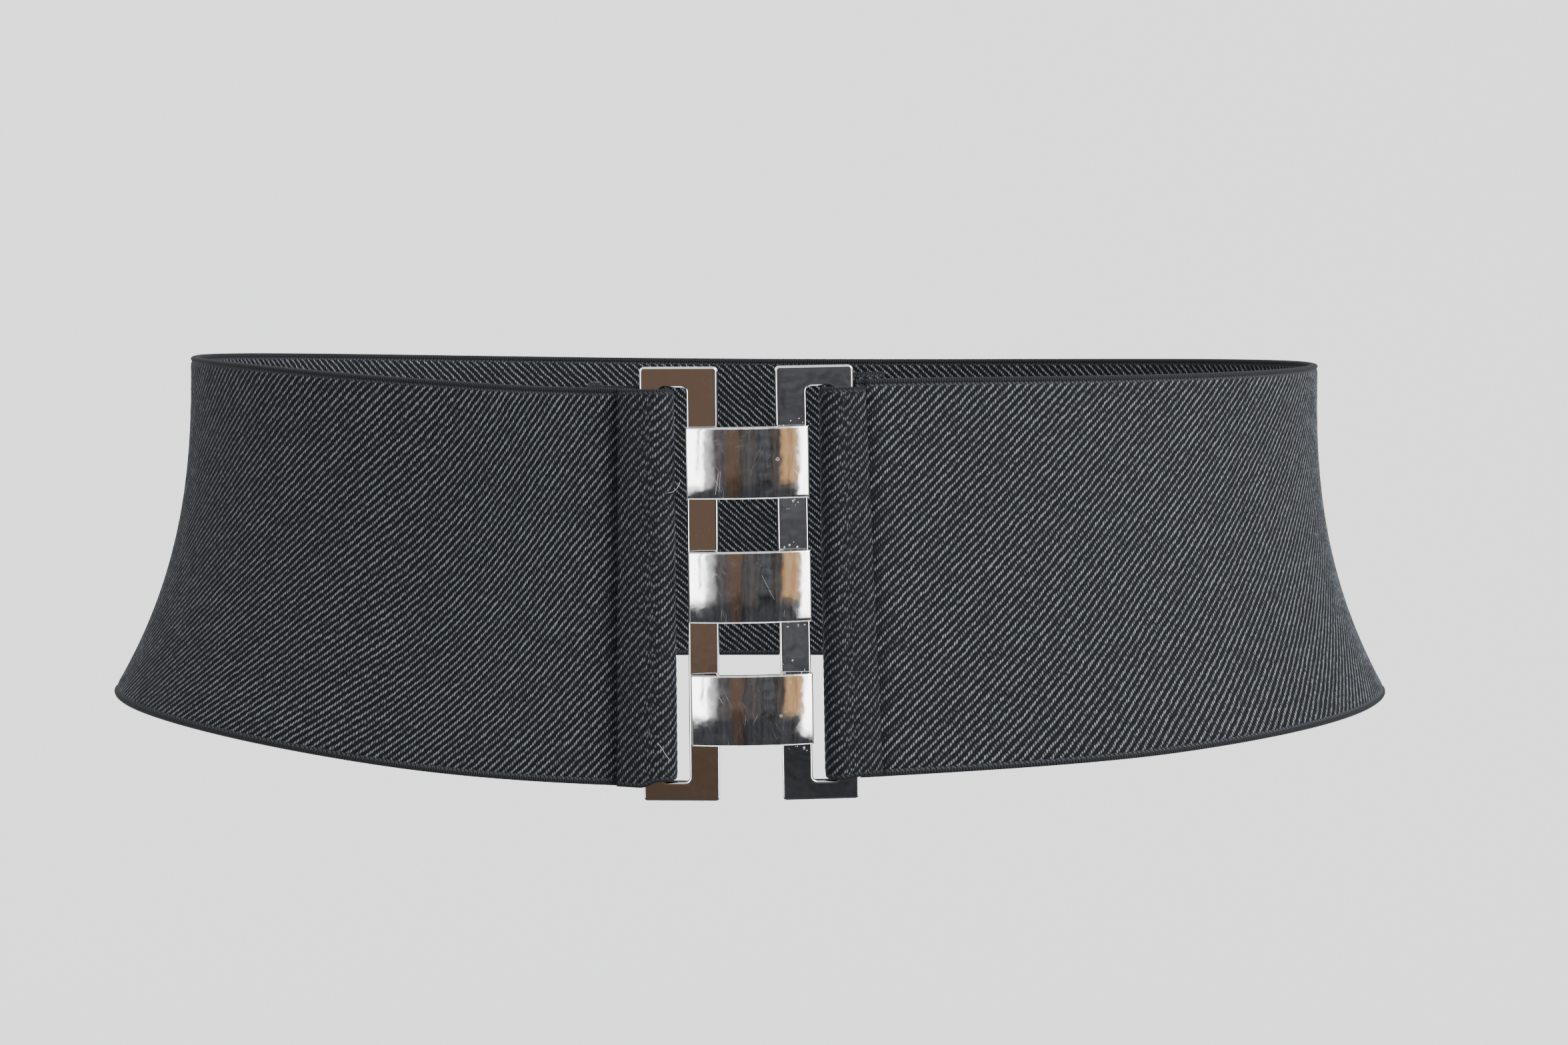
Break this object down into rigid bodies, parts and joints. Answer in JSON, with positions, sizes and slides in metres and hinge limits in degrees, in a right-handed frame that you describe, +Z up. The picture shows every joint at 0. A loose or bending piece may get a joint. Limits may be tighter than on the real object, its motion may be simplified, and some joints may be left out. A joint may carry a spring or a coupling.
{
  "type": "elastic stretch belt",
  "caption": "Wide black elastic waist belt closed in a loop, with a polished metal interlocking buckle of slotted rectangular frames bridged by domed plates.",
  "frame": {"origin": "on the loop's axis at the mid-height of the webbing, where a waist goes through", "axes": "+Z up along the wearer's body, the buckle on the -Y side, +X to the right of someone who looks at the buckle"},
  "size_m": [0.2749, 0.1761, 0.0826],
  "materials": {
    "black_elastic": "knitted elastic webbing, near black with grey slubs",
    "polished_metal": "polished plating, scratched, with small pits and rust spots"
  },
  "bodies": {
    "root": {"elastic_band": "black_elastic", "left_end_tab": "black_elastic", "right_end_tab": "black_elastic", "left_buckle_frame": "polished_metal", "right_buckle_half": "polished_metal"}
  },
  "joints": []
}
